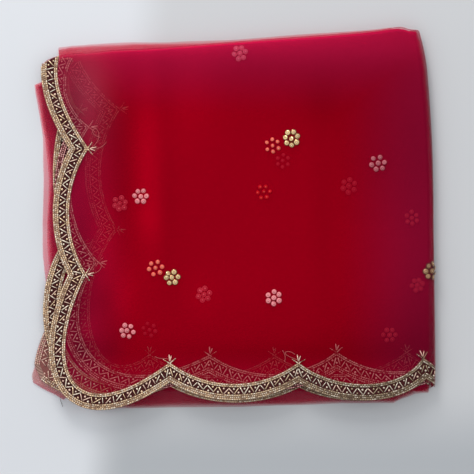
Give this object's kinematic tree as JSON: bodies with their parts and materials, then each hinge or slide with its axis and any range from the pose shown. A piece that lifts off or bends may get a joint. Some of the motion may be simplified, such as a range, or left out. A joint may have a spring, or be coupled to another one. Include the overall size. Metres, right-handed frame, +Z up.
{
  "type": "bridal veil",
  "caption": "Red net veil folded into a flat square stack, with a gold beaded scalloped border along two sides and sequin flowers.",
  "frame": {"origin": "on the floor, under the middle of the folded stack's bounding box", "axes": "+X to the right along the stack's longest side, toward the round right fold; +Y to the far fold; +Z up from the surface the veil lies on"},
  "size_m": [0.3842, 0.364, 0.0182],
  "materials": {
    "net": "fine matt net, several plies deep",
    "net_single": "fine matt net, one or two plies, sheer",
    "beaded_border": "dark ribbon closely covered with gold cords and beads",
    "sequin": "satin gold sequins",
    "bugle_bead": "glossy gold bugle beads"
  },
  "bodies": {
    "root": {"top_ply": "net", "second_ply": "net", "third_ply": "net", "fourth_ply": "net", "hidden_folds": "net", "lowest_ply": "net", "left_fold": "net_single", "far_fold": "net_single", "near_fold": "net_single", "corner_flap": "net_single", "top_border": "beaded_border", "second_border": "beaded_border", "third_border": "beaded_border", "fourth_border": "beaded_border", "flower_far": "sequin", "flower_near": "sequin", "flower_right": "sequin", "sprig_left_far": "bugle_bead", "sprig_left_near": "bugle_bead", "sprig_near_1": "bugle_bead", "sprig_near_2": "bugle_bead", "sprig_near_3": "bugle_bead"}
  },
  "joints": []
}
